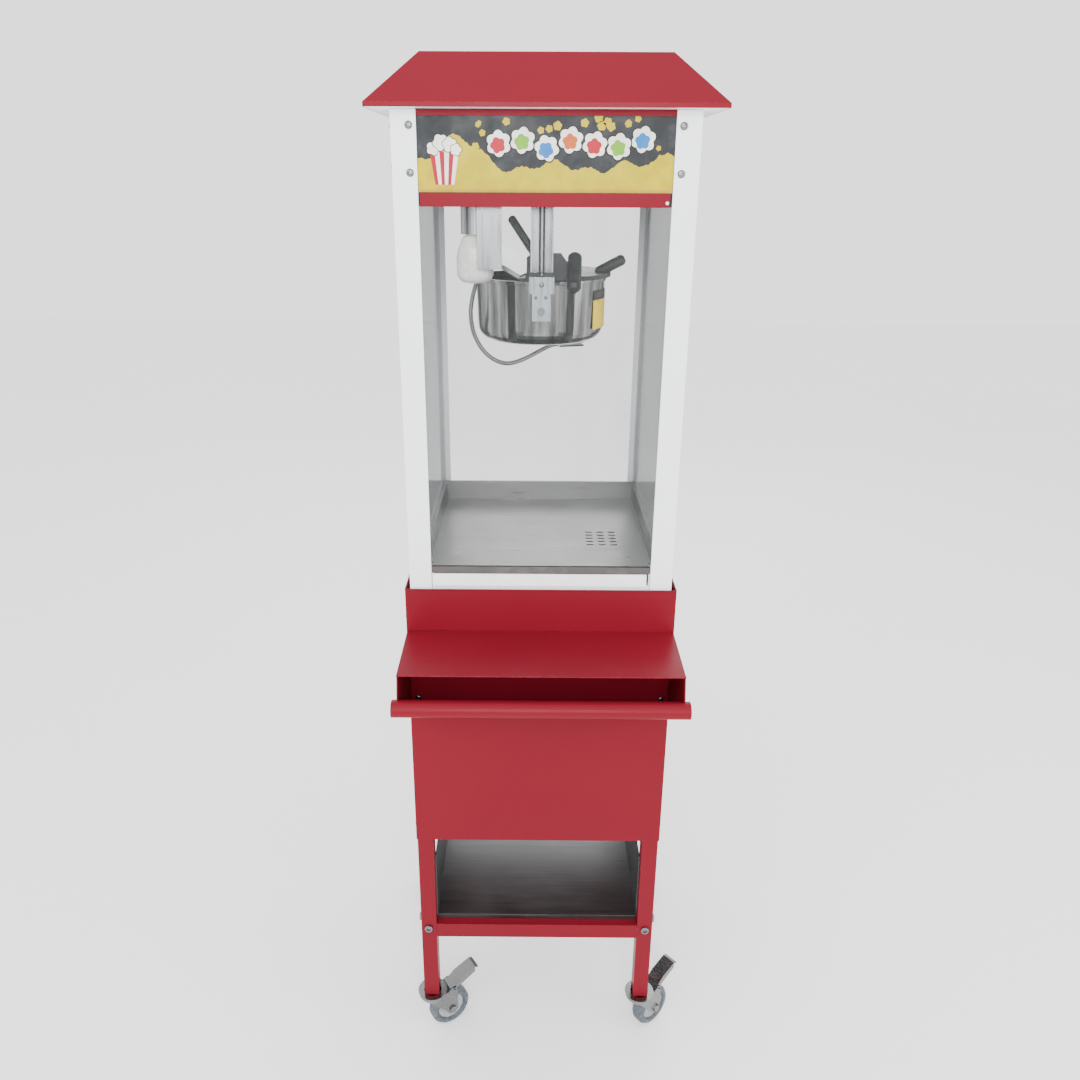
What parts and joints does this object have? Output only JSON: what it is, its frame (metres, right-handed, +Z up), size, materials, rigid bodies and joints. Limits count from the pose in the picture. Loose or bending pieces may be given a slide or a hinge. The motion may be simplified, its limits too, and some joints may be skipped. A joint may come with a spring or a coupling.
{
  "type": "popcorn cart",
  "caption": "Glazed popcorn popper with a tilting kettle and a pitched roof, standing on a wheeled cart with a serving shelf.",
  "frame": {"origin": "centre of the object's footprint box, on the floor", "axes": "+Z up; the customer's side faces -Y and the operator's door is at +Y"},
  "size_m": [0.5172, 0.5732, 1.6256],
  "materials": {
    "red_paint": "glossy red powder coat",
    "white_paint": "glossy white powder coat",
    "sign_print": "printed film, satin gloss",
    "clear_glass": "clear toughened glass",
    "clear_acrylic": "clear acrylic sheet",
    "satin_steel": "satin stainless sheet",
    "polished_steel": "polished stainless steel",
    "conduit_steel": "ribbed flexible conduit",
    "zinc_plate": "bright zinc plate",
    "grey_plate": "dull grey steel sheet",
    "black_plastic": "black phenolic plastic",
    "lamp_white": "white diffuser",
    "tyre_rubber": "dark blue-grey rubber"
  },
  "bodies": {
    "root": {"base_frame": "white_paint", "cart_body": "red_paint", "ceiling_plate": "satin_steel", "control_panel": "satin_steel", "cord_gland": "black_plastic", "door_hinge_lower": "zinc_plate", "door_hinge_upper": "zinc_plate", "floor_plate": "satin_steel", "floor_sill": "satin_steel", "front_glass": "clear_glass", "gear_head": "satin_steel", "hanger_arm": "satin_steel", "kettle_lead": "conduit_steel", "lamp_bulb": "lamp_white", "lamp_holder": "satin_steel", "leg_front_left": "red_paint", "leg_front_right": "red_paint", "leg_rear_left": "red_paint", "leg_rear_right": "red_paint", "machine_deck": "grey_plate", "post_front_left": "white_paint", "post_front_right": "white_paint", "post_rear_left": "white_paint", "post_rear_right": "white_paint", "rail_front": "red_paint", "rail_rear": "red_paint", "roof": "red_paint", "roof_base": "white_paint", "serving_shelf": "red_paint", "shelf_pan": "grey_plate", "side_glass_left": "clear_glass", "side_glass_right": "clear_glass", "side_header_left": "red_paint", "side_header_right": "red_paint", "sign_panel": "sign_print", "sign_rail": "red_paint", "stir_motor": "satin_steel"},
    "rear_door": {"rear_door": "clear_acrylic", "door_knob": "black_plastic"},
    "drawer": {"crumb_drawer": "white_paint"},
    "kettle": {"kettle_pot": "polished_steel", "lid_bridge": "black_plastic"},
    "left_lid": {"lid_left": "satin_steel"},
    "right_lid": {"lid_right": "black_plastic"},
    "stirrer": {"stirrer": "polished_steel"},
    "drive_shaft": {"drive_shaft": "polished_steel"},
    "cross_shaft": {"cross_shaft": "polished_steel"},
    "motor_switch": {"switch_motor": "black_plastic"},
    "heater_switch": {"switch_heater": "black_plastic"},
    "lamp_switch": {"switch_lamp": "black_plastic"},
    "front_left_caster": {"caster_front_left_fork": "zinc_plate"},
    "front_left_wheel": {"caster_front_left_wheel": "tyre_rubber"},
    "front_right_caster": {"caster_front_right_fork": "zinc_plate"},
    "front_right_wheel": {"caster_front_right_wheel": "tyre_rubber"},
    "rear_left_caster": {"caster_rear_left_fork": "zinc_plate"},
    "rear_left_wheel": {"caster_rear_left_wheel": "tyre_rubber"},
    "rear_right_caster": {"caster_rear_right_fork": "zinc_plate"},
    "rear_right_wheel": {"caster_rear_right_wheel": "tyre_rubber"},
    "front_left_pedal": {"caster_front_left_pedal": "zinc_plate"},
    "front_right_pedal": {"caster_front_right_pedal": "zinc_plate"}
  },
  "joints": [
    {"name": "front_left_swivel", "type": "hinge", "parent": "root", "child": "front_left_caster", "pos_m": [-0.19489, -0.11632, 0.08], "axis": [0, 0, 1], "continuous": true},
    {"name": "front_left_roll", "type": "hinge", "parent": "front_left_caster", "child": "front_left_wheel", "pos_m": [-0.16775, -0.09937, 0.0375], "axis": [-0.5299, 0.848, 0], "continuous": true},
    {"name": "front_left_brake", "type": "hinge", "parent": "front_left_caster", "child": "front_left_pedal", "pos_m": [-0.16266, -0.09619, 0.081], "axis": [-0.5299, 0.848, 0], "range_deg": [0, 12]},
    {"name": "front_right_swivel", "type": "hinge", "parent": "root", "child": "front_right_caster", "pos_m": [0.18401, -0.11632, 0.08], "axis": [0, 0, 1], "continuous": true},
    {"name": "front_right_roll", "type": "hinge", "parent": "front_right_caster", "child": "front_right_wheel", "pos_m": [0.20779, -0.09491, 0.0375], "axis": [-0.6691, 0.7431, 0], "continuous": true},
    {"name": "front_right_brake", "type": "hinge", "parent": "front_right_caster", "child": "front_right_pedal", "pos_m": [0.21225, -0.0909, 0.081], "axis": [-0.6691, 0.7431, 0], "range_deg": [0, 12]},
    {"name": "rear_left_swivel", "type": "hinge", "parent": "root", "child": "rear_left_caster", "pos_m": [-0.19489, 0.23917, 0.08], "axis": [0, 0, 1], "continuous": true},
    {"name": "rear_left_roll", "type": "hinge", "parent": "rear_left_caster", "child": "rear_left_wheel", "pos_m": [-0.2226, 0.25517, 0.0375], "axis": [-0.5, -0.866, 0], "continuous": true},
    {"name": "rear_right_swivel", "type": "hinge", "parent": "root", "child": "rear_right_caster", "pos_m": [0.18401, 0.23917, 0.08], "axis": [0, 0, 1], "continuous": true},
    {"name": "rear_right_roll", "type": "hinge", "parent": "rear_right_caster", "child": "rear_right_wheel", "pos_m": [0.21022, 0.25753, 0.0375], "axis": [-0.5736, 0.8192, 0], "continuous": true},
    {"name": "rear_door_swing", "type": "hinge", "parent": "root", "child": "rear_door", "pos_m": [0.18256, 0.25143, 1.188], "axis": [0, 0, -1], "range_deg": [0, 110]},
    {"name": "drawer_slide", "type": "slide", "parent": "root", "child": "drawer", "axis": [0, -1, 0], "range_m": [0, 0.22]},
    {"name": "kettle_tilt", "type": "hinge", "parent": "root", "child": "kettle", "pos_m": [-0.00844, -0.04657, 1.304], "axis": [0, 1, 0], "range_deg": [0, 95], "deforming": ["kettle_lead"]},
    {"name": "left_lid_hinge", "type": "hinge", "parent": "kettle", "child": "left_lid", "pos_m": [-0.0242, 0.0612, 1.346], "axis": [0.1736, 0.9848, 0], "range_deg": [-28, 57]},
    {"name": "right_lid_hinge", "type": "hinge", "parent": "kettle", "child": "right_lid", "pos_m": [0.00732, 0.05565, 1.346], "axis": [-0.1736, -0.9848, 0], "range_deg": [0, 40]},
    {"name": "drive_shaft_spin", "type": "hinge", "parent": "root", "child": "drive_shaft", "pos_m": [-0.00844, -0.06607, 1.4], "axis": [0, 0, 1], "continuous": true},
    {"name": "cross_shaft_spin", "type": "hinge", "parent": "root", "child": "cross_shaft", "pos_m": [-0.00844, -0.02658, 1.304], "axis": [0, 1, 0], "continuous": true},
    {"name": "stirrer_spin", "type": "hinge", "parent": "kettle", "child": "stirrer", "pos_m": [-0.00844, 0.05842, 1.27], "axis": [0, 0, 1], "continuous": true},
    {"name": "motor_switch_rock", "type": "hinge", "parent": "root", "child": "motor_switch", "pos_m": [-0.07544, 0.23763, 1.5], "axis": [1, 0, 0], "range_deg": [0, 14]},
    {"name": "heater_switch_rock", "type": "hinge", "parent": "root", "child": "heater_switch", "pos_m": [-0.00544, 0.23763, 1.5], "axis": [1, 0, 0], "range_deg": [0, 14]},
    {"name": "lamp_switch_rock", "type": "hinge", "parent": "root", "child": "lamp_switch", "pos_m": [0.06456, 0.23763, 1.5], "axis": [1, 0, 0], "range_deg": [0, 14]}
  ],
  "couplings": [
    {"joint": "cross_shaft_spin", "follows": "stirrer_spin", "ratio": -1},
    {"joint": "drive_shaft_spin", "follows": "stirrer_spin", "ratio": -1}
  ]
}
